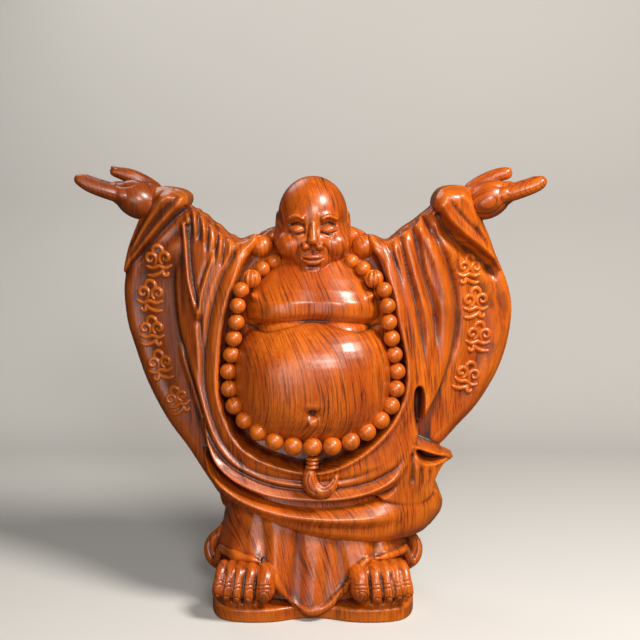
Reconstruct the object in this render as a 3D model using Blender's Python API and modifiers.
# A standing laughing-buddha figure with both arms raised, carved from one block of rosewood.
#
# The carving is one piece. The robe is worked as a relief: sheets of cloth are laid over a grid,
# one height towards the viewer and one towards the back, and folds are cut into them stroke by
# stroke. Skirt, belly, head, hands, feet and beads are blocked out from simple masses. Everything
# is then fused into one skin.
#
# Units are metres. +Z is up, the figure faces -Y, and the origin is the centre of the base.
# "left" in a name means the viewer's left, at -X.

import math

import bmesh
import bpy
import numpy as np
from mathutils import Matrix, Vector

MM = 0.001

# Fineness of the relief, of the fused skins, and of the finished carving
RELIEF_STEP = 0.6 * MM
VOXEL = 0.75 * MM
FINISHED_TRIANGLES = 11600

# Base and feet
BASE_HALF_WIDTH = 66 * MM
BASE_BACK = 43.4 * MM
BASE_THICKNESS = 9 * MM
BELOW_CUT = 3 * MM
FOOT_SPREAD = 46 * MM
BIG_TOE_RADIUS = 7.2 * MM
SMALL_TOE_RADIUS = 4.0 * MM
TOE_REACH = 63 * MM
INSTEP_HEIGHT = 39 * MM

# Skirt
SKIRT_TOP = 92 * MM
SKIRT_WAIST_HALF_WIDTH = 56 * MM
SKIRT_HEM_HALF_WIDTH = 68 * MM
SKIRT_FRONT = 41 * MM
SKIRT_FLARE = 14 * MM
SKIRT_BACK = 36 * MM
HEM_OVER_FEET = 37 * MM
HEM_CENTRE = 5 * MM
HEM_SIDE = 22 * MM
HEM_BACK = 10 * MM
HEM_LIP = 1.9 * MM

# Belly and chest
BELLY_HEIGHT = 152 * MM
BELLY_HALF_WIDTH = 52 * MM
BELLY_HALF_HEIGHT = 43 * MM
BELLY_FRONT = 66 * MM
NAVEL_RADIUS = 4.0 * MM
CHEST_HEIGHT = 203 * MM
CHEST_HALF_WIDTH = 47 * MM
TORSO_HALF_WIDTH = 56 * MM
CHEST_FRONT = 47 * MM

# Robe
ROBE_FRONT = 44 * MM
ROBE_BACK = 40 * MM
ROBE_EDGE = 3 * MM
LINING_FRONT = 20 * MM
SLEEVE_FRONT = 17 * MM
SLEEVE_BACK = 15 * MM
SLEEVE_EDGE = 8 * MM
CUFF_FRONT = 26 * MM
CUFF_BACK = 19 * MM
CUFF_EDGE = 6.5 * MM
WRAP_BACK = 14 * MM
THINNEST_CLOTH = 4 * MM
RIM_RADIUS = 2.7 * MM

# Head
HEAD_HEIGHT = 250 * MM
HEAD_DEPTH = 12 * MM
CHEEK_HALF_WIDTH = 26 * MM
SKULL_HALF_WIDTH = 22.5 * MM
LOBE_RADIUS = 7.6 * MM

# String of beads
BEAD_COUNT = 31
BEAD_RADIUS_NECK = 4.2 * MM
BEAD_RADIUS_BELLY = 5.4 * MM
TASSEL_RADIUS = 4.6 * MM

# Hands
WRIST_RADIUS = 11 * MM
FINGER_RADIUS = 4.6 * MM
FINGER_REACH = 154.6 * MM
THUMB_RADIUS = 4.9 * MM
THUMB_HEIGHT = 286 * MM

WOOD_COLOUR = (0.42, 0.115, 0.022, 1.0)
WOOD_ROUGHNESS = 0.25


def mm(*points):
    """Points in millimetres, as tuples in metres. A plain number stays a number."""
    return [p * MM if np.isscalar(p) else tuple(v * MM for v in p) for p in points]


def mirrored(points):
    return [(-point[0], *point[1:]) for point in points]


# Outlines of the cloth, seen from the front, as X and Z
LEFT_SLEEVE = mm(
    (-35, 243), (-47, 241), (-52, 243.5), (-57.5, 246.8), (-61, 250.3), (-66.5, 254), (-69, 256.8),
    (-74.5, 260), (-78, 261.5), (-90, 270), (-101, 268), (-110, 255), (-117, 242), (-121.4, 229),
    (-124.2, 205), (-122.5, 187), (-119, 174), (-110, 147), (-97, 122), (-83, 103), (-69, 81), (-58, 66),
    (-40, 62), (-20, 90), (-20, 225),
)
RIGHT_SLEEVE = mm(
    (35, 243), (47, 240.5), (52, 243.5), (55, 247), (59, 248.6), (62.5, 252.3), (67, 252.8), (69.5, 257),
    (73.5, 259.4), (79, 264), (90, 270), (102, 268), (113, 246), (120, 230), (126, 217), (130, 204),
    (131, 193), (127, 167), (121.5, 152), (110, 132.5), (97, 118.5), (84, 105), (74, 100), (60, 95),
    (30, 95), (20, 110), (20, 225),
)
LEFT_CUFF = mm(
    (-80, 264), (-79.5, 269), (-83, 272.5), (-90, 274.5), (-98, 275), (-103, 272.5), (-108.5, 262),
    (-114, 250), (-119, 238), (-122, 227), (-123, 219), (-117, 226.5), (-104, 240), (-96, 249),
    (-88, 257), (-83, 260.5),
)
RIGHT_CUFF = mm(
    (78, 262), (78.5, 268.5), (82, 273.5), (88, 275.6), (97, 275.5), (102, 271), (105.5, 263), (110, 252),
    (118.5, 231), (123, 220.5), (117, 227.5), (109, 233.5), (101, 239), (93, 245.5), (86, 252.5), (82, 258),
)
ROBE_SHEET = mm(
    (-36, 245), (-47, 240.5), (-57, 245), (-66, 252), (-75, 259.5), (-83, 258), (-86, 244), (-88.6, 214),
    (-86, 184), (-78, 156), (-71, 131), (-68, 112), (-60, 97), (-43, 85), (-21, 78.4), (6, 76.6), (30, 79),
    (49, 86), (62, 101), (71, 126), (82, 146), (89, 168), (92, 190), (89, 212), (83, 230), (76, 244),
    (70, 256), (66, 252), (58, 247), (47, 240.5), (36, 245),
)
HALF_OPENING = mm(
    (36, 238), (42, 231), (47, 225), (53.5, 214), (58, 199), (60.5, 179), (62, 155), (58.5, 133),
    (49, 115.5), (34, 104), (17, 99), (0, 97.5),
)
OPENING = HALF_OPENING + mirrored(HALF_OPENING[-2::-1])
LOWER_WRAP = mm(
    (-71, 104), (-66, 99), (-57, 91), (-40, 80.6), (-20, 74.2), (10, 72), (40, 75.4), (60, 84), (74, 81.5),
    (82, 76.5), (85.6, 70), (84.6, 63), (78, 55.5), (69, 50), (54, 47.5), (28, 49.5), (4, 52.5), (-17, 58.5),
    (-36, 66.5), (-54, 76.5), (-65, 88),
)
LOOSE_END = mm(
    (58, 114), (65, 112.6), (74, 109), (84, 104.5), (91.3, 101), (90.5, 98.8), (85, 96.6), (81, 91),
    (77.5, 77), (66, 72), (46, 76), (34, 84), (44, 98),
)
# Two hollows that go straight in: one inside the loose end, one between body and sleeve
LEAF = mm((66.5, 108.2), (73, 105.8), (80, 103), (88.2, 100.2), (83, 99.4), (76, 98.6), (69.5, 101.2))
LEAF_FLOOR = 24 * MM
SLOT = mm(
    (65.2, 144), (67.2, 148.4), (70, 147), (71.2, 140), (71, 128), (69.6, 119.5), (67, 120.5), (65, 132)
)
SLOT_FLOOR = 17 * MM

# The block behind belly and chest, as height and half width in millimetres, and its depth in front
# and behind as shares of LINING_FRONT and ROBE_BACK
ROBE_CORE = [
    (57, 55, 1.7, 0.8), (72, 64, 1.72, 0.85), (94, 69, 1.75, 0.9), (112, 70, 1.65, 0.95),
    (140, 70, 1.0, 1.0), (160, 70, 1.15, 1.0), (180, 69, 1.45, 0.97), (205, 62, 1.45, 0.87),
    (228, 50, 1.1, 0.72), (243, 36, 0.65, 0.55), (250, 20, 0.4, 0.4),
]

# Strokes on the front of the robe, in millimetres: kind, path in X and Z, widths, depths, and how
# much of each end fades out
ROBE_STROKES = [
    # The lapel, from the shoulder round under the belly
    ("groove", [(-44, 241), (-58, 218), (-66.5, 186), (-68, 148), (-57, 113), (-32, 94.5), (8, 90.5),
                (45, 101), (56, 112)], [2.6, 3.2, 3, 2.4], [2.2, 2, 1.7, 1.3], (0.02, 0.2)),
    ("ridge", [(-47, 234), (-60, 206), (-65.5, 166), (-61, 130), (-42, 104), (-8, 94)], [4.5],
     [1.2, 1.8, 1.2], (0.1, 0.3)),
    ("ridge", [(44, 237), (57, 212), (63, 176), (61, 131), (51.5, 113)], [3.4], [1.3], (0.1, 0.2)),
    ("groove", [(47, 239), (60.5, 212), (66, 178), (67, 160)], [2.2], [1.4], (0.05, 0.4)),
    # Left: the edge of the upper wrap, and the steps on its inner side
    ("ridge", [(-87, 176), (-79.5, 150), (-72, 124), (-63, 102), (-43, 87), (-4, 78.8), (38, 84), (61, 103)],
     [2.6, 3.4, 3.6, 3], [1.6, 2.8, 3.2, 2.2], (0.06, 0.1)),
    ("groove", [(-84, 180), (-75, 144), (-65, 115), (-45, 95.5), (-7, 84.8), (34, 88.6), (60, 109)],
     [2.2, 3.4, 3.2, 2.8], [1.6, 3.6, 3.4, 2.6], (0.12, 0.1)),
    ("ridge", [(-79, 176), (-71.5, 142), (-58, 111), (-30, 92.5), (12, 88), (33, 91.5)], [3.2],
     [0.8, 1.8, 1.6, 0.8], (0.15, 0.3)),
    # Left: the two folds that run down to a point
    ("ridge", [(-83.5, 254), (-81, 229), (-76.6, 204), (-73.2, 191)], [2.2], [2.0, 2.2, 1.8], (0.04, 0.1)),
    ("groove", [(-80.6, 252), (-78, 228), (-74.6, 205), (-72.4, 196)], [2.8], [2.6], (0.02, 0.2)),
    ("ridge", [(-60.5, 238), (-68.6, 217), (-73.2, 190)], [2.4], [1.2, 1.8, 2.2], (0.2, 0.06)),
    ("groove", [(-72.2, 196), (-70, 164), (-67.5, 132)], [2.4], [2.2, 1.2, 0.8], (0.05, 0.5)),
    # Left: gathers below the arm
    ("groove", [(-79.5, 263), (-77.8, 250), (-77, 236)], [2.4], [3.4, 1.8], (0, 0.5)),
    ("groove", [(-73.4, 259), (-72.4, 249), (-72.2, 236)], [2.4], [3.6, 2.0], (0, 0.5)),
    ("groove", [(-67.6, 255.5), (-66.6, 246), (-67.4, 232)], [2.5], [3.6, 2.2], (0, 0.5)),
    ("groove", [(-61.6, 250), (-61, 241), (-63, 225)], [2.5], [3.6, 2.2], (0, 0.5)),
    ("groove", [(-55.6, 244), (-56, 235), (-58.6, 222)], [2.3], [3.2, 1.8], (0, 0.5)),
    # Left cuff: a broad rolled band with two long creases
    ("ridge", [(-81, 266.5), (-96, 252.2), (-113, 233.4), (-119, 226)], [3.4, 3.6, 2.4], [1.2, 2.4, 1.2],
     (0.1, 0.1)),
    ("groove", [(-83, 270), (-99, 255.8), (-115, 234.5), (-120.5, 225.5)], [2.6, 3, 2.2], [1.4, 2.8, 1.8],
     (0.08, 0.1)),
    ("groove", [(-81.6, 260.6), (-95, 247.6), (-110.4, 231.4), (-117, 224.6)], [2.8], [1.8], (0.05, 0.2)),
    # Right: long deep folds
    ("ridge", [(64.5, 253), (78, 231), (85.6, 201), (85.4, 165), (82, 147)], [4, 6.5, 7.5, 5],
     [2.6, 4.2, 4.6, 1.6], (0.02, 0.2)),
    ("groove", [(69.8, 257), (82, 238), (91.4, 210), (92.8, 179), (84.6, 148)], [2.6, 4, 4.4, 3.4],
     [2.6, 3, 2.4, 1], (0.02, 0.25)),
    ("groove", [(62.6, 252), (68, 231), (75.4, 205), (78.4, 178), (77, 162)], [2.4, 3.6, 4.4, 3],
     [3, 4.6, 5.6, 2], (0.0, 0.35)),
    ("ridge", [(58.6, 248), (64.4, 223), (72, 196), (74.6, 166), (73.6, 152)], [3.2],
     [1.6, 2.4, 2.2, 1], (0.0, 0.3)),
    ("groove", [(54.6, 245.5), (60.6, 221), (67.4, 190), (71.6, 157)], [2, 3, 3, 2.4], [2.4, 3.4, 2.8, 1.2],
     (0.0, 0.3)),
    ("ridge", [(51.4, 243), (57.6, 217), (64, 185), (67, 168)], [2.4], [1.5], (0.0, 0.3)),
    # Right cuff: band, lip and the hollow below it
    ("ridge", [(80, 266), (91, 250.8), (107, 238), (120, 225)], [3.2, 3.6, 2.2], [1.2, 2.6, 1.2],
     (0.06, 0.1)),
    ("groove", [(84.6, 271), (96.4, 255), (111, 240), (117, 231.4)], [2.8], [1.4, 2.6, 1.8], (0.1, 0.15)),
    ("groove", [(79.6, 259.6), (90.6, 244.4), (107, 231.8), (122, 217)], [3.4, 6, 6.4, 5], [3, 7.5, 8, 4],
     (0.03, 0.12)),
    ("dip", [(112, 226), (124, 199), (122, 168)], [6, 9, 8], [3.2, 2.6, 1.4], (0.1, 0.4)),
    # Wraps below the belly
    ("groove", [(-73, 105.4), (-54, 87.6), (-22, 75.8), (18, 74.2), (48, 82.4), (57, 90)],
     [2.2, 3.2, 3.4, 2.2], [4, 8, 9, 3], (0.06, 0.12)),
    ("ridge", [(-66, 93.6), (-42, 78), (0, 68.6), (46, 71), (62, 75)], [2.4, 3.2, 3.2, 4],
     [1.6, 2.4, 2.2, 1.2], (0.08, 0.2)),
    ("groove", [(-56, 80.6), (-20, 65.6), (30, 61), (70, 67)], [3.4], [1.2, 1.8, 1.4, 0.8], (0.2, 0.3)),
    ("dip", [(60, 84), (66, 82), (74, 79)], [4], [2.0], (0.2, 0.3)),
    # The loose end: its rims, and a crease that runs down from it
    ("ridge", [(63, 111.2), (70, 109), (78, 105.6), (90, 100.6)], [1.8], [1.4], (0.05, 0.02)),
    ("groove", [(63.6, 108), (63.6, 97), (62.4, 84)], [2.4], [2.6], (0.1, 0.3)),
    ("groove", [(69, 98), (70.4, 90), (70, 82)], [2.0], [1.4], (0.2, 0.4)),
    # Light hollows that let the big sheets sag a little
    ("dip", [(-104, 228), (-112, 205), (-98, 150), (-84, 122)], [8, 12, 9, 6], [0.8, 1.6, 1.2, 0.8],
     (0.1, 0.2)),
    ("dip", [(103, 222), (111, 198), (101, 146), (90, 124)], [7, 11, 9, 6], [1.2, 2, 1.4, 0.8], (0.1, 0.2)),
]

# Route of the beads, as X, Y and Z
BEAD_ROUTE = mm(
    (0, -56, 112.5), (24, -54, 116), (43.5, -47, 129.5), (54, -38, 149), (55.5, -35, 165), (51.5, -37, 182),
    (48.5, -38, 200), (40, -32, 218), (24, -23, 229.5),
)


# Curves


def smooth_path(points, count, closed=False):
    """Points of a Catmull-Rom curve through the given ones, evenly spread by index."""
    known = np.asarray(points, float)
    last = len(known) if closed else len(known) - 1
    spots = np.linspace(0, last, count, endpoint=not closed)
    index = np.minimum(spots.astype(int), last - 1)
    t = (spots - index)[:, None]
    if closed:
        p0, p1, p2, p3 = (known[(index + k) % len(known)] for k in (-1, 0, 1, 2))
    else:
        padded = np.vstack([2 * known[0] - known[1], known, 2 * known[-1] - known[-2]])
        p0, p1, p2, p3 = (padded[index + k] for k in range(4))
    return 0.5 * (
        2 * p1
        + (p2 - p0) * t
        + (2 * p0 - 5 * p1 + 4 * p2 - p3) * t**2
        + (3 * p1 - p0 - 3 * p2 + p3) * t**3
    )


def walked(path):
    """Distance walked along a path, at each of its points."""
    steps = np.linalg.norm(np.diff(path, axis=0), axis=1)
    return np.concatenate([[0.0], np.cumsum(steps)])


def ease(x, low, high):
    """0 below low, 1 above high, and a smooth step between."""
    t = np.clip((x - low) / (high - low), 0, 1)
    return t * t * (3 - 2 * t)


# Masses


def add_object(name, mesh):
    obj = bpy.data.objects.new(name, mesh)
    carved.objects.link(obj)
    return obj


def from_form(name, form):
    mesh = bpy.data.meshes.new(name)
    form.to_mesh(mesh)
    form.free()
    return add_object(name, mesh)


def as_mesh(obj):
    """The object as the viewport shows it, as a plain mesh in world space."""
    bpy.context.view_layer.update()
    graph = bpy.context.evaluated_depsgraph_get()
    mesh = bpy.data.meshes.new_from_object(obj.evaluated_get(graph))
    mesh.transform(obj.matrix_world)
    plain = add_object(obj.name, mesh)
    bpy.data.objects.remove(obj)
    return plain


def places(obj):
    co = np.empty(len(obj.data.vertices) * 3, np.float32)
    obj.data.vertices.foreach_get("co", co)
    return co.reshape(-1, 3).astype(float)


def normals(obj):
    normal = np.empty(len(obj.data.vertices) * 3, np.float32)
    obj.data.vertex_normals.foreach_get("vector", normal)
    return normal.reshape(-1, 3).astype(float)


def moved_to(obj, co):
    obj.data.vertices.foreach_set("co", co.astype(np.float32).ravel())
    obj.data.update()
    return obj


def ellipsoid(centre, radii, turn=0.0, square=2.0):
    """An ellipsoid, turned by so many degrees about Y. Above 2, square makes it boxier."""
    form = bmesh.new()
    bmesh.ops.create_uvsphere(form, u_segments=40, v_segments=24, radius=1.0)
    obj = from_form("ellipsoid", form)
    unit = places(obj)
    reach = (np.abs(unit) ** square).sum(axis=1, keepdims=True) ** (-1 / square)
    moved_to(obj, unit * reach * np.array(radii))
    obj.data.transform(Matrix.Translation(Vector(centre)) @ Matrix.Rotation(math.radians(turn), 4, "Y"))
    return obj


def roll(points, radii, count=48):
    """A round-ended roll along a smooth path, with its own radius at each of the given points."""
    path = smooth_path(points, count)
    size = smooth_path(np.asarray(radii, float)[:, None], count)[:, 0]
    along = walked(path)
    for left_over in (along, along[-1] - along):
        inside = left_over < size
        size[inside] = np.sqrt(np.maximum(2 * left_over * size - left_over**2, 1e-10))[inside]
    curve = bpy.data.curves.new("roll", "CURVE")
    curve.dimensions = "3D"
    curve.bevel_depth = 1.0
    curve.bevel_resolution = 4
    curve.use_fill_caps = True
    spline = curve.splines.new("POLY")
    spline.points.add(count - 1)
    for point, place, radius in zip(spline.points, path, size):
        point.co = (*place, 1.0)
        point.radius = radius
    return as_mesh(add_object("roll", curve))


def slab(outline, thickness, round_edge, count=120):
    """A flat outline given thickness, with rounded edges, centred on the plane of the outline."""
    curve = bpy.data.curves.new("slab", "CURVE")
    curve.dimensions = "2D"
    curve.fill_mode = "BOTH"
    curve.extrude = thickness / 2 - round_edge
    curve.bevel_depth = round_edge
    curve.bevel_resolution = 3
    curve.offset = -round_edge
    spline = curve.splines.new("POLY")
    spline.points.add(count - 1)
    for point, (a, b) in zip(spline.points, smooth_path(outline, count, closed=True)):
        point.co = (a, b, 0, 1)
    spline.use_cyclic_u = True
    return add_object("slab", curve)


def loft(rings):
    """A closed skin over rings of equal length, with the first and the last ring capped."""
    form = bmesh.new()
    made = [[form.verts.new(point) for point in ring] for ring in rings]
    for lower, upper in zip(made, made[1:]):
        for k in range(len(lower)):
            n = (k + 1) % len(lower)
            form.faces.new((lower[k], lower[n], upper[n], upper[k]))
    form.faces.new(made[0][::-1])
    form.faces.new(made[-1])
    bmesh.ops.recalc_face_normals(form, faces=form.faces)
    return from_form("loft", form)


def level_ring(height, half_width, front, back, count=64, square=2.4):
    """A level ring round the body: a superellipse with its own depth in front and behind."""
    ring = []
    for k in range(count):
        angle = 2 * math.pi * k / count
        x = math.copysign(abs(math.cos(angle)) ** (2 / square), math.cos(angle))
        y = math.copysign(abs(math.sin(angle)) ** (2 / square), math.sin(angle))
        ring.append((x * half_width, y * (back if y > 0 else front), height))
    return ring


def fused(name, masses, soften=0):
    """One closed skin round all the masses, softened where they meet."""
    form = bmesh.new()
    for mass in masses:
        form.from_mesh(mass.data)
        bpy.data.objects.remove(mass)
    obj = from_form(name, form)
    remesh = obj.modifiers.new("fuse", "REMESH")
    remesh.mode = "VOXEL"
    remesh.voxel_size = VOXEL
    if soften:
        smooth = obj.modifiers.new("soften", "SMOOTH")
        smooth.factor = 0.5
        smooth.iterations = soften
    return as_mesh(obj)


# Strokes of the gouge


def stroke(kind, path, width, depth, fade=(0.15, 0.15)):
    """A stroke along a path in X and Z, with one width and depth or several along its way.

    A groove and a dip are cut in, a ridge and a bead are left standing, and a hole goes straight
    in with steep sides.
    """
    path = smooth_path(path, 8 * len(path))
    return {"kind": kind, "path": path, "width": width, "depth": depth, "fade": fade}


def section(kind, gap, width):
    """Height of a stroke's section, as a share of its depth, at a distance from its path."""
    across = np.clip(1 - gap / width, 0, 1)
    if kind == "groove":
        return -(across**1.6)
    if kind == "dip":
        return -ease(across, 0, 1)
    if kind == "hole":
        return -ease(across, 0, 0.55)
    if kind == "bead":
        return np.sqrt(1 - (1 - across) ** 2)
    return ease(across, 0, 1)


def nearest(path, spot):
    """Distance from a path in the plane, and the share of the path walked there."""
    gap = np.full(len(spot), np.inf)
    share = np.zeros(len(spot))
    along = walked(path)
    for k in range(len(path) - 1):
        leg = path[k + 1] - path[k]
        offset = spot - path[k]
        t = np.clip((offset @ leg) / max(leg @ leg, 1e-12), 0, 1)
        away = np.linalg.norm(offset - t[:, None] * leg, axis=1)
        closer = away < gap
        gap[closer] = away[closer]
        share[closer] = ((along[k] + t * (along[k + 1] - along[k])) / along[-1])[closer]
    return gap, share


def raised_by(cut, spot):
    """Which of the spots a stroke reaches, and how far it raises the surface there."""
    low = cut["path"].min(axis=0) - np.max(cut["width"])
    high = cut["path"].max(axis=0) + np.max(cut["width"])
    near = np.flatnonzero(((spot > low) & (spot < high)).all(axis=1))
    gap, share = nearest(cut["path"], spot[near])
    width, depth = (
        np.interp(share, np.linspace(0, 1, np.size(values)), np.atleast_1d(values))
        for values in (cut["width"], cut["depth"])
    )
    first, last = cut["fade"]
    ends = ease(share, 0, max(first, 1e-6)) * ease(1 - share, 0, max(last, 1e-6))
    return near, depth * section(cut["kind"], gap, width) * ends


def carve(obj, strokes, facing=-1.0):
    """Cuts strokes into an object's skin, from the front or, with facing 1, from the back."""
    co = places(obj)
    normal = normals(obj)
    toward = ease(facing * normal[:, 1], -0.3, 0.2)
    moved = np.zeros_like(co)
    for cut in strokes:
        near, amount = raised_by(cut, co[:, [0, 2]])
        amount = (amount * toward[near])[:, None]
        moved[near] += amount * (np.array([0.0, facing, 0.0]) if cut["kind"] == "hole" else normal[near])
    return moved_to(obj, co + moved)


def swell(obj, swellings):
    """Soft swellings of the front, each given by its place in X and Z, its two reaches and its height."""
    co = places(obj)
    toward = ease(-normals(obj)[:, 1], 0, 0.5)
    for x, z, wide, tall, height in swellings:
        co[:, 1] -= height * toward * np.exp(-(((co[:, 0] - x) / wide) ** 2) - ((co[:, 2] - z) / tall) ** 2)
    return moved_to(obj, co)


# Sheets of cloth on the relief


def edge_gap(outline, x, z):
    """Distance of each place from a closed outline, positive inside it."""
    path = smooth_path(outline, 6 * len(outline), closed=True)
    nearest_yet = np.full(x.shape, np.inf)
    inside = np.zeros(x.shape, bool)
    for (ax, az), (bx, bz) in zip(path, np.roll(path, -1, axis=0)):
        dx, dz = bx - ax, bz - az
        t = np.clip(((x - ax) * dx + (z - az) * dz) / max(dx * dx + dz * dz, 1e-12), 0, 1)
        nearest_yet = np.minimum(nearest_yet, (x - ax - t * dx) ** 2 + (z - az - t * dz) ** 2)
        if az != bz:
            inside ^= ((az > z) != (bz > z)) & (x < (z - az) * dx / dz + ax)
    return np.where(inside, 1, -1) * np.sqrt(nearest_yet)


def lay(relief, side, outline, height, edge):
    """Lays one more sheet over what is there, at a height in front or behind, with a rounded edge."""
    gap = edge_gap(outline, relief["x"], relief["z"])
    fall = edge - np.sqrt(edge**2 - (edge - np.clip(gap, 0, edge)) ** 2)
    relief[side] = np.where(gap > 0, np.maximum(relief[side], height - fall), relief[side])
    relief["gap"] = np.maximum(relief["gap"], gap)


def sink(relief, outline, floor):
    """Cuts the front straight down to a floor inside an outline."""
    gap = edge_gap(outline, relief["x"], relief["z"])
    relief["front"] -= np.clip(relief["front"] - floor, 0, None) * ease(gap, -0.5 * MM, 1.4 * MM)


def cut_relief(relief, side, strokes):
    spot = np.column_stack([relief["x"].ravel(), relief["z"].ravel()])
    height = relief[side].ravel()
    for cut in strokes:
        near, amount = raised_by(cut, spot)
        height[near] += amount
    relief[side] = height.reshape(relief["x"].shape)


def relief_skin(name, relief):
    """A closed mesh between the front and the back of a relief, its border moved onto the outline."""
    x, z, gap = relief["x"].copy(), relief["z"].copy(), relief["gap"]
    inside = gap > 0
    cell = inside[:-1, :-1] & inside[1:, :-1] & inside[:-1, 1:] & inside[1:, 1:]
    cells = np.pad(cell, 1)
    touching = cells[:-1, :-1].astype(int) + cells[1:, :-1] + cells[:-1, 1:] + cells[1:, 1:]
    border = (touching > 0) & (touching < 4)
    slope_z, slope_x = np.gradient(gap, RELIEF_STEP)
    steepness = np.maximum(slope_x**2 + slope_z**2, 0.3)
    x[border] -= (gap * slope_x / steepness)[border]
    z[border] -= (gap * slope_z / steepness)[border]
    used = touching > 0
    number = np.cumsum(used).reshape(used.shape) - 1
    total = int(used.sum())
    front = np.column_stack([x[used], -relief["front"][used], z[used]])
    back = np.column_stack([x[used], relief["back"][used], z[used]])
    a, b, c, d = (n[cell] for n in (number[:-1, :-1], number[:-1, 1:], number[1:, 1:], number[1:, :-1]))
    faces = [np.column_stack([a, b, c, d]), np.column_stack([d, c, b, a]) + total]
    for one, other, first, second in (
        (cells[1:-1, :-1], cells[1:-1, 1:], number[:-1, :], number[1:, :]),
        (cells[:-1, 1:-1], cells[1:, 1:-1], number[:, :-1], number[:, 1:]),
    ):
        wall = one != other
        faces.append(np.column_stack([first[wall], second[wall], second[wall] + total, first[wall] + total]))
    faces = np.vstack(faces)
    mesh = bpy.data.meshes.new(name)
    mesh.vertices.add(2 * total)
    mesh.vertices.foreach_set("co", np.vstack([front, back]).ravel())
    mesh.loops.add(faces.size)
    mesh.loops.foreach_set("vertex_index", faces.ravel())
    mesh.polygons.add(len(faces))
    mesh.polygons.foreach_set("loop_start", np.arange(0, faces.size, 4))
    mesh.update(calc_edges=True)
    return add_object(name, mesh)


# Robe


def robe_reach(x, z):
    """How far the cloth stands in front of the body, by place."""
    high = np.interp(
        z, np.array([60, 100, 150, 200, 245]) * MM, ROBE_FRONT * np.array([1.1, 1.14, 0.98, 0.84, 0.62])
    )
    return high * np.sqrt(np.clip(1 - np.abs(x / (100 * MM)) ** 3, 0.12, 1))


def lay_core(relief):
    """The block behind belly and chest. Its front is the lining that shows round the belly."""
    sizes = np.array(ROBE_CORE) * (MM, MM, LINING_FRONT, ROBE_BACK)
    height, half_width, front, back = sizes.T
    x, z = relief["x"], relief["z"]
    across = np.clip(1 - np.abs(x / np.interp(z, height, half_width)) ** 2.4, 0, 1) ** (1 / 2.4)
    outline = list(zip(half_width, height))
    outline += mirrored(outline[::-1])
    lay(relief, "front", outline, across * np.interp(z, height, front), 1 * MM)
    lay(relief, "back", outline, across * np.interp(z, height, back), 1 * MM)


def lay_sleeves(relief):
    """The two flat sleeves, which swell along the raised arms, and the cuffs turned back over them."""
    x, z = np.abs(relief["x"]), relief["z"]
    taper = 1 - 0.42 * ease(x, 72 * MM, 124 * MM)
    above_arm = z - 222 * MM - 0.42 * (x - 55 * MM)
    arm = 3.5 * MM * np.exp(-((above_arm / (13 * MM)) ** 2)) * ease(x, 50 * MM, 75 * MM)
    for sleeve, cuff in ((LEFT_SLEEVE, LEFT_CUFF), (RIGHT_SLEEVE, RIGHT_CUFF)):
        lay(relief, "front", sleeve, (SLEEVE_FRONT + arm) * taper, SLEEVE_EDGE)
        lay(relief, "back", sleeve, (SLEEVE_BACK + arm) * taper, SLEEVE_EDGE)
        lay(relief, "front", cuff, CUFF_FRONT * taper, CUFF_EDGE)
        lay(relief, "back", cuff, CUFF_BACK * taper, CUFF_EDGE)


def lay_front(relief):
    """The robe's front with its opening, the wrap below it, and the wrap's loose end."""
    reach = robe_reach(relief["x"], relief["z"])
    lay(relief, "front", ROBE_SHEET + OPENING, reach, ROBE_EDGE)
    lay(relief, "front", LOWER_WRAP, reach + 1.5 * MM, 6.5 * MM)
    lay(relief, "back", LOWER_WRAP, WRAP_BACK, 6 * MM)
    lay(relief, "front", LOOSE_END, reach - 0.8 * MM, 2.4 * MM)
    lay(relief, "back", LOOSE_END, -10 * MM, 2.6 * MM)


def front_strokes():
    """The folds of the robe's front, and the roll that edges its opening."""
    rim = [(x * 1.02, z - 0.4 * MM) for x, z in smooth_path(OPENING, 40)]
    strokes = [stroke("bead", rim, RIM_RADIUS, 1.5 * MM, fade=(0.01, 0.01))]
    for kind, path, widths, depths, fade in ROBE_STROKES:
        strokes.append(stroke(kind, mm(*path), mm(*widths), mm(*depths), fade))
    return strokes


def back_strokes():
    """Swags of the robe's back, and folds that hang from the arms."""
    strokes = []
    for swag in range(4):
        half_width, top, low = 47 - 3 * swag, 236 - 25 * swag, 200 - 26 * swag
        route = mm(*[(half_width * t, low + (top - low) * t**2) for t in np.linspace(-1, 1, 7)])
        strokes.append(stroke("groove", route, 7 * MM, 3 * MM, fade=(0.4, 0.4)))
    for side in (-1, 1):
        for k in range(5):
            hang = mm(
                (side * (57 + 8.5 * k), 243 + 4.4 * k),
                (side * (63 + 9.4 * k), 212),
                (side * (60 + 8 * k), 172),
                (side * (50 + 5 * k), 130),
            )
            strokes.append(stroke("groove", hang, 4.6 * MM, 2.6 * MM, fade=(0.03, 0.4)))
    return strokes


def robe():
    """Sleeves, cuffs, the robe's front and back, and its wraps."""
    x, z = np.meshgrid(
        np.arange(-128 * MM, 134 * MM, RELIEF_STEP), np.arange(42 * MM, 280 * MM, RELIEF_STEP)
    )
    deep = -60 * MM
    relief = {"x": x, "z": z}
    for layer in ("gap", "front", "back"):
        relief[layer] = np.full(x.shape, deep)
    lay_core(relief)
    lay_sleeves(relief)
    lay_front(relief)
    sink(relief, SLOT, SLOT_FLOOR)
    sink(relief, LEAF, LEAF_FLOOR)
    cut_relief(relief, "front", front_strokes())
    cut_relief(relief, "back", back_strokes())
    relief["front"] = np.maximum(relief["front"], THINNEST_CLOTH - relief["back"])
    return fused("robe", [relief_skin("robe", relief)], soften=3)


# Skirt, feet and base


def hem_height(angle):
    """Height of the hem round the body: it drops between the feet and lifts over them."""
    sideways = abs(math.cos(angle))
    if math.sin(angle) > 0:
        return HEM_BACK + (HEM_SIDE - HEM_BACK) * sideways**2
    lift = HEM_CENTRE + (HEM_OVER_FEET - HEM_CENTRE) * float(ease(sideways, 0, 0.5))
    return lift + (HEM_SIDE - HEM_OVER_FEET) * float(ease(sideways, 0.88, 1.0))


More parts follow.
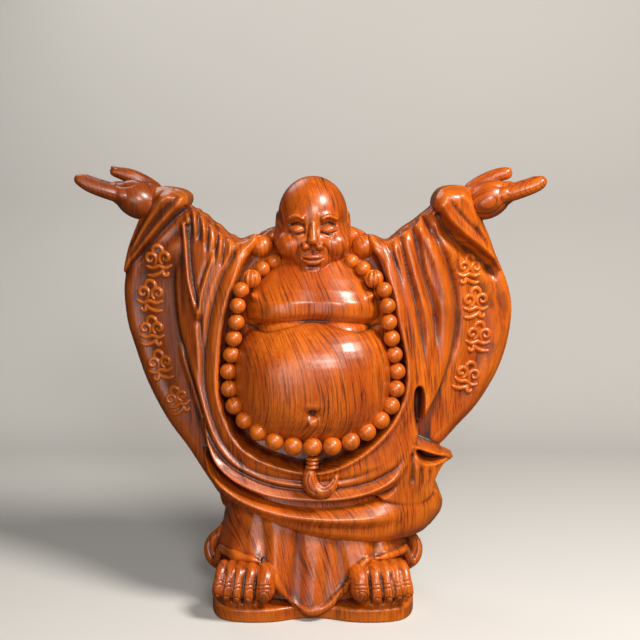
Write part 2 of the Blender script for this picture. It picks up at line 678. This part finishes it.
def skirt_ring(flare, count):
    half_width = SKIRT_WAIST_HALF_WIDTH + (SKIRT_HEM_HALF_WIDTH - SKIRT_WAIST_HALF_WIDTH) * flare
    return level_ring(0, half_width, SKIRT_FRONT + SKIRT_FLARE * flare, SKIRT_BACK + 6 * MM * flare, count)


def skirt(count=120, levels=14):
    """The skirt from the waist to the hem, hollowed below, with its lip and the curls at its sides."""
    hems = [hem_height(2 * math.pi * k / count) for k in range(count)]
    rings = []
    for level in range(levels + 1):
        t = level / levels
        ring = skirt_ring(t**1.7, count)
        rings.append([(x, y, SKIRT_TOP + (hem - SKIRT_TOP) * t) for (x, y, _), hem in zip(ring, hems)])
    for shrink, rise in ((0.92, 1 * MM), (0.6, 6 * MM), (0.2, 8 * MM)):
        rings.append([(x * shrink, y * shrink, z + rise) for x, y, z in rings[levels]])
    lip = [(x, y, z + HEM_LIP * 0.5) for x, y, z in rings[levels]]
    front_half = (lip[count // 2 :] + lip[:1])[::2]
    masses = [loft(rings), roll(front_half, [HEM_LIP] * len(front_half), count=160)]
    for side in (-1, 1):
        curl = mm((58, -4, 52), (63, -5, 44), (69, -4, 37), (71, -5, 30), (69, -8, 23), (60, -14, 20))
        curl = [(side * x, y, z) for x, y, z in curl]
        masses.append(roll(curl, mm(3, 3.6, 4.2, 4.4, 4, 3)))
    folds = [
        stroke("dip", mm((-33, 74), (-33, 55), (-31, 34), (-30, 10)), mm(5, 9, 8), mm(0.6, 2.6), (0.15, 0)),
        stroke("dip", mm((-8, 66), (-10, 44), (-12, 18), (-13, -6)), mm(4, 8, 8), mm(0.6, 2.2, 2), (0.15, 0)),
        stroke("ridge", mm((3, 58), (2, 34), (0, 10), (0, -8)), 9 * MM, mm(0.4, 2, 2, 1), (0.2, 0)),
        stroke("dip", mm((14, 60), (17, 40), (20, 22), (22, -4)), mm(4, 8, 8), mm(0.6, 2.2, 2), (0.15, 0)),
        stroke("dip", mm((42, 58), (41, 46), (40, 30), (40, 10)), mm(5, 8, 8), 2.2 * MM, (0.2, 0)),
        stroke("ridge", mm((-48, 76), (-50, 54), (-50, 30), (-50, 10)), 8 * MM, mm(0.4, 1.6), (0.2, 0)),
    ]
    falls = []
    for side in (-1, 1):
        for k in range(3):
            fall = mm((side * (10 + 17 * k), 92), (side * (11 + 19 * k), 60), (side * (13 + 21 * k), 18))
            falls.append(stroke("groove", fall, 6 * MM, 2.6 * MM, fade=(0.4, 0.0)))
    return carve(carve(fused("skirt", masses, soften=2), folds), falls, facing=1.0)


def base():
    """The slab under the feet, which swells out under each foot, and the core behind the toes."""
    right = mm(
        (12, -52), (26, -56.5), (44, -57), (58, -52), (65, -38), (66, -14), (62, 12), (50, 32), (26, 42)
    )
    front_to_back = [(x * BASE_HALF_WIDTH / (66 * MM), y) for x, y in right]
    outline = [(0, -50 * MM), *front_to_back, (0, BASE_BACK), *mirrored(front_to_back[::-1])]
    plate = slab(outline, BASE_THICKNESS + BELOW_CUT, 1.6 * MM)
    plate.location.z = (BASE_THICKNESS - BELOW_CUT) / 2
    core = loft(
        [level_ring(2 * MM, 52 * MM, 44 * MM, 34 * MM), level_ring(56 * MM, 52 * MM, 38 * MM, 32 * MM)]
    )
    return [as_mesh(plate), core]


def foot(side):
    """A foot with five toes that rest side by side on the base."""
    floor = BASE_THICKNESS
    instep = ellipsoid(
        (side * FOOT_SPREAD, -32 * MM, 19 * MM), (20 * MM, 24 * MM, INSTEP_HEIGHT - 19 * MM), square=2.5
    )
    masses = [instep]
    clefts = []
    edge = FOOT_SPREAD - 20.5 * MM
    for toe in range(5):
        radius = BIG_TOE_RADIUS if toe == 0 else SMALL_TOE_RADIUS * (1 - 0.045 * toe)
        across = side * (edge + radius * 0.95)
        tip = -TOE_REACH + radius + 1.5 * MM * max(toe - 1, 0) ** 1.4
        lift = 1.2 * MM * toe
        route = [
            (across, -37 * MM, INSTEP_HEIGHT - radius),
            (across, tip + 9 * MM, floor + 19 * MM - 0.5 * lift),
            (across, tip + 3 * MM, floor + 12 * MM),
            (across, tip + 0.5 * MM, floor + radius * 0.7 + lift),
        ]
        masses.append(roll(route, [radius, radius * 1.05, radius, radius], count=28))
        edge += radius * 1.88
        if toe < 4:
            cleft = [(side * edge, height) for height in (floor + lift, 22 * MM, INSTEP_HEIGHT)]
            clefts.append(stroke("groove", cleft, 1.6 * MM, 1.8 * MM, fade=(0, 0.2)))
    return carve(fused("foot", masses), clefts)


# Belly and chest


def flesh():
    """The bare belly with its navel, and the soft chest above it."""
    depth = BELLY_FRONT - 16 * MM
    belly = ellipsoid(
        (0, -16 * MM, BELLY_HEIGHT), (BELLY_HALF_WIDTH, depth, BELLY_HALF_HEIGHT), square=2.65
    )
    wide = CHEST_HALF_WIDTH
    rings = [
        level_ring(CHEST_HEIGHT + rise * MM, wide * share, CHEST_FRONT * reach, 10 * MM, square=2.6)
        for rise, share, reach in (
            (-18, 0.8, 0.68), (-13, 0.94, 0.87), (-7, 1.0, 0.97), (0, 1.0, 0.98), (7, 0.95, 0.93),
            (14, 0.84, 0.83), (21, 0.66, 0.7), (28, 0.5, 0.56),
        )
    ]
    # The crease under the chest is highest in the middle
    rings = [[(x, y, z - 5 * MM * (x / wide) ** 2 + 1.4 * MM) for x, y, z in ring] for ring in rings]
    torso = ellipsoid((0, -6 * MM, 165 * MM), (TORSO_HALF_WIDTH, 28 * MM, 56 * MM), square=3.2)
    skin = fused("flesh", [belly, loft(rings), torso], soften=8)
    breasts = [(side * 25 * MM, CHEST_HEIGHT - 4 * MM, 17 * MM, 9 * MM, 2.6 * MM) for side in (-1, 1)]
    nipples = [(side * 36 * MM, CHEST_HEIGHT + 4 * MM, 2.4 * MM, 2.4 * MM, 2.6 * MM) for side in (-1, 1)]
    navel = BELLY_HEIGHT - 15 * MM
    navel_lip = (0, navel - 6 * MM, 4 * MM, 2.6 * MM, 1.6 * MM)
    swell(skin, [*breasts, *nipples, navel_lip])
    dimple = [(-0.6 * MM, navel), (0.6 * MM, navel)]
    under = mm((-45, 186.6), (-32, 188.4), (-18, 191.2), (0, 192.6), (18, 191.2), (32, 188.4), (45, 186.6))
    return carve(
        skin,
        [
            stroke("hole", dimple, NAVEL_RADIUS, 4.6 * MM, fade=(0, 0)),
            stroke("groove", under, 2.0 * MM, 1.2 * MM, fade=(0.1, 0.1)),
        ],
    )


# Head


def head():
    """A calm, round face of plain proportions, with its eyes at half height, and long-lobed ears."""
    y, z = -HEAD_DEPTH, HEAD_HEIGHT
    eye = z - 1 * MM
    mouth = z - 21 * MM
    form = [
        ellipsoid((0, y + 2 * MM, z + 7 * MM), (SKULL_HALF_WIDTH, 26 * MM, 25 * MM)),
        ellipsoid((0, y, z - 9 * MM), (CHEEK_HALF_WIDTH, 25 * MM, 22 * MM)),
        ellipsoid((0, y - 17.5 * MM, z - 26.5 * MM), mm(9, 7, 5.5)),
        ellipsoid((0, y - 18.5 * MM, mouth + 1 * MM), mm(12, 7.5, 8)),
        ellipsoid((0, y + 1 * MM, z - 25 * MM), mm(21, 19, 9)),
    ]
    form += [ellipsoid((side * 13 * MM, y - 15.5 * MM, z - 11.5 * MM), mm(10.5, 9.5, 9)) for side in (-1, 1)]
    masses = [fused("head", form, soften=28)]
    nose = [(0, y - 22 * MM, z + 5 * MM), (0, y - 25 * MM, z - 5 * MM), (0, y - 27.5 * MM, z - 11.5 * MM)]
    masses.append(roll(nose, mm(2, 2.8, 4.2)))
    for side in (-1, 1):
        masses += [
            ellipsoid((side * 4.6 * MM, y - 24.6 * MM, z - 12.4 * MM), mm(3, 3.2, 2.6)),
            ellipsoid((side * 9.6 * MM, y - 20 * MM, eye), mm(5.6, 3.6, 3.6)),
            roll(
                [
                    (side * 4.6 * MM, y - 22.6 * MM, eye + 6.5 * MM),
                    (side * 10 * MM, y - 21 * MM, eye + 8.4 * MM),
                    (side * 16.4 * MM, y - 16 * MM, eye + 6 * MM),
                ],
                mm(1.2, 1.4, 0.9),
            ),
        ]
    for drop, radius in ((-1.3, 1.5), (1.5, 1.8)):
        lip = [(side * 6.6 * MM, y - 23.6 * MM, mouth - 0.4 * drop * MM + 0.6 * MM) for side in (-1, 1)]
        lip.insert(1, (0, y - 25.6 * MM, mouth - drop * MM))
        masses.append(roll(lip, mm(0.9, radius, 0.9)))
    face = fused("head", masses, soften=2)
    smile = [(-8 * MM, mouth + 1.6 * MM), (0, mouth), (8 * MM, mouth + 1.6 * MM)]
    lines = [stroke("groove", smile, 1.2 * MM, 1.2 * MM)]
    for side in (-1, 1):
        lid = [(side * x * MM, eye - drop * MM) for x, drop in ((4.4, 0.6), (9.6, 1.9), (15, 0.2))]
        fold = [(side * x * MM, z - drop * MM) for x, drop in ((6.8, 11), (10.6, 16), (11.6, 21.5))]
        lines.append(stroke("groove", lid, 1.2 * MM, 1.3 * MM))
        lines.append(stroke("groove", fold, 2.4 * MM, 0.9 * MM))
    return [carve(face, lines), ear(-1), ear(1)]


def ear(side):
    """An ear close to the head, with a long lobe that ends in a ball."""
    y, z = 4 * MM - HEAD_DEPTH, HEAD_HEIGHT
    edge = side * (SKULL_HALF_WIDTH - 0.8 * MM)
    ball = (side * (CHEEK_HALF_WIDTH + LOBE_RADIUS - 0.6 * MM), y - 9 * MM, z - 13 * MM)
    drop = [
        (edge + side * 1 * MM, y, z - 3 * MM),
        (side * (CHEEK_HALF_WIDTH + 2.3 * MM), y, z - 8 * MM),
        (side * (CHEEK_HALF_WIDTH + 6 * MM), y - 3 * MM, z - 12 * MM),
    ]
    masses = [
        ellipsoid((edge, y, z - 1 * MM), mm(2.8, 5.8, 8.8), side * 5),
        roll(drop, mm(3.6, 4.6, 6)),
        ellipsoid(ball, [LOBE_RADIUS] * 3),
    ]
    return fused("ear", masses)


# Hands


def hand(side):
    """An open hand, palm up, with the little finger nearest the viewer and the thumb behind."""

    def at(*points):
        return mm(*[(side * x, y, z) for x, y, z in points])

    palm = at((113, -8, 266.5), (121, -7, 269.5), (107, -4, 265))
    thumb = at((101, 3, 268), (111, 4, 276), (121, 2, 282)) + [(side * 131 * MM, 0, THUMB_HEIGHT)]
    masses = [
        roll(at((92, -3, 259), (108, -5, 265)), [WRIST_RADIUS] * 2, count=16),
        ellipsoid(palm[0], mm(16, 14.5, 12), -side * 28),
        ellipsoid(palm[1], mm(13, 15, 8), -side * 24),
        ellipsoid(palm[2], mm(12, 14, 12.5)),
        roll(thumb, [THUMB_RADIUS * s for s in (1.5, 1.2, 1.0, 0.85)], count=28),
    ]
    for finger, short in enumerate((4.5, 1.5, 0, 2.5)):
        y = -18 + 7.2 * finger
        route = at((118, 0.8 * y, 268.5), (130, 0.95 * y, 272), (143, 1.05 * y, 276.5))
        route.append((side * (FINGER_REACH - short * MM), 1.1 * y * MM, 281 * MM))
        masses.append(roll(route, [FINGER_RADIUS * s for s in (1.2, 1.1, 1.0, 0.8)], count=24))
    return fused("hand", masses, soften=2)


# Beads


def bead_places():
    """Place and radius of each bead, from the lowest one outwards. Each touches the next."""
    route = smooth_path(BEAD_ROUTE, 200)
    radius = np.linspace(BEAD_RADIUS_BELLY, BEAD_RADIUS_NECK, BEAD_COUNT // 2 + 1)
    spots = np.concatenate([[0], np.cumsum(radius[:-1] + radius[1:])])
    fit = walked(route)[-1] / spots[-1]
    right = [
        (*(np.interp(spot, walked(route), route[:, axis]) for axis in range(3)), size)
        for spot, size in zip(spots * fit, radius * fit)
    ]
    return right + mirrored(right[1:])


def beads():
    """The string of beads, the wood that they stand on, and the tassel under the middle one."""
    bed = [(x * 0.98, y + BEAD_RADIUS_BELLY + 2 * MM, z) for x, y, z in BEAD_ROUTE]
    masses = [roll(half, [BEAD_RADIUS_BELLY] * len(half), count=70) for half in (bed, mirrored(bed))]
    masses += [ellipsoid((x, y, z), [size] * 3) for x, y, z, size in bead_places()]
    masses += [
        ellipsoid(mm((0, -52, 105.5))[0], mm(4.8, 4.4, 2.2)),
        ellipsoid(mm((0, -52, 102))[0], mm(4.2, 4.4, 2.2)),
        roll(
            mm((0, -51, 103), (-1.5, -52, 94), (0, -53, 88), (6, -54, 83.5), (13, -53, 87), (15.5, -51, 95)),
            [TASSEL_RADIUS * s for s in (0.8, 1.05, 1.1, 0.95, 0.7, 0.3)],
            count=40,
        ),
    ]
    return masses


# Assembly


def sawn_flat(obj):
    """The carving with everything below the base cut off, which leaves one flat face to stand on."""
    form = bmesh.new()
    form.from_mesh(obj.data)
    every = [*form.verts, *form.edges, *form.faces]
    bmesh.ops.bisect_plane(form, geom=every, plane_co=(0, 0, 0), plane_no=(0, 0, 1), clear_inner=True)
    bmesh.ops.holes_fill(form, edges=[edge for edge in form.edges if edge.is_boundary])
    bmesh.ops.triangulate(form, faces=[face for face in form.faces if len(face.verts) > 3])
    form.to_mesh(obj.data)
    form.free()
    return obj


def finished(obj):
    """The skin thinned to the fewest faces that keep its shape, smooth and in wood."""
    thin = obj.modifiers.new("thin", "DECIMATE")
    thin.ratio = FINISHED_TRIANGLES / (2 * len(obj.data.polygons))
    thin.use_collapse_triangulate = True
    obj = sawn_flat(as_mesh(obj))
    wood = bpy.data.materials.new("rosewood")
    wood.use_nodes = True
    shader = wood.node_tree.nodes["Principled BSDF"]
    shader.inputs["Base Color"].default_value = WOOD_COLOUR
    shader.inputs["Roughness"].default_value = WOOD_ROUGHNESS
    obj.data.materials.clear()
    obj.data.materials.append(wood)
    obj.data.shade_smooth()
    obj.data.set_sharp_from_angle(angle=math.radians(50))
    return obj


for old in list(bpy.data.objects):
    bpy.data.objects.remove(old)
carved = bpy.data.collections.new("laughing_buddha_statue")
bpy.context.scene.collection.children.link(carved)
pieces = [robe(), skirt(), flesh(), foot(-1), foot(1), *base(), *head(), hand(-1), hand(1), *beads()]
statue = finished(fused("statue", pieces, soften=1))
statue.name = "statue"
